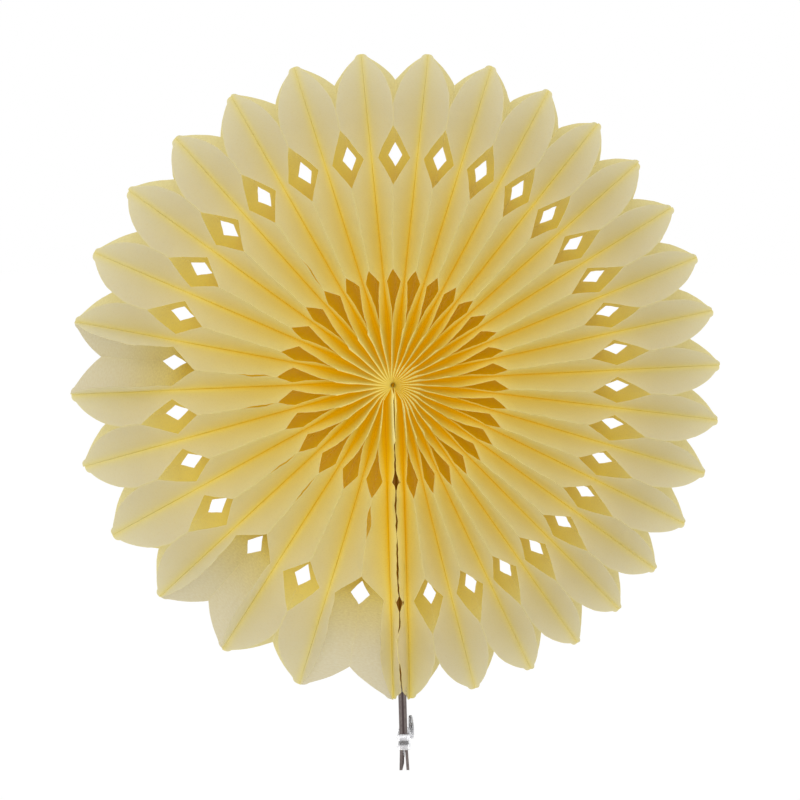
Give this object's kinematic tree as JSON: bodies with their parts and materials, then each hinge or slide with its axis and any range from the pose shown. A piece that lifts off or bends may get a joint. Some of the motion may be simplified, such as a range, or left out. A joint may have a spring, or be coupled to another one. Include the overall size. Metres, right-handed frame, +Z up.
{
  "type": "paper fan rosette",
  "caption": "Round hanging decoration of die-cut tissue leaves glued into diamond cells round a hub, with card tabs held by a clear clip with an eye.",
  "frame": {"origin": "centre of the hub, in the plane of the valleys, halfway between the front and back ridges", "axes": "+X to the right as seen from the front, +Y from the front to the back along the fan's axis, +Z up, away from the tabs; the seam points down, turned 1.6 degrees towards +X"},
  "size_m": [0.3995, 0.054, 0.4425],
  "materials": {
    "tissue": "thin unglazed tissue, a little translucent",
    "greyboard": "raw grey-brown board",
    "clear_plastic": "clear moulded plastic"
  },
  "bodies": {
    "root": {"card_left": "greyboard", "card_right": "greyboard", "clip": "clear_plastic", "cell_01": "tissue", "cell_02": "tissue", "cell_03": "tissue", "cell_04": "tissue", "cell_05": "tissue", "cell_06": "tissue", "cell_07": "tissue", "cell_08": "tissue", "cell_09": "tissue", "cell_10": "tissue", "cell_11": "tissue", "cell_12": "tissue", "cell_13": "tissue", "cell_14": "tissue", "cell_15": "tissue", "cell_16": "tissue", "cell_17": "tissue", "cell_18": "tissue", "cell_19": "tissue", "cell_20": "tissue", "cell_21": "tissue", "cell_22": "tissue", "cell_23": "tissue", "cell_24": "tissue", "cell_25": "tissue", "cell_26": "tissue", "cell_27": "tissue", "cell_28": "tissue", "cell_29": "tissue", "cell_30": "tissue", "cell_31": "tissue", "cell_32": "tissue", "cell_33": "tissue"}
  },
  "joints": []
}
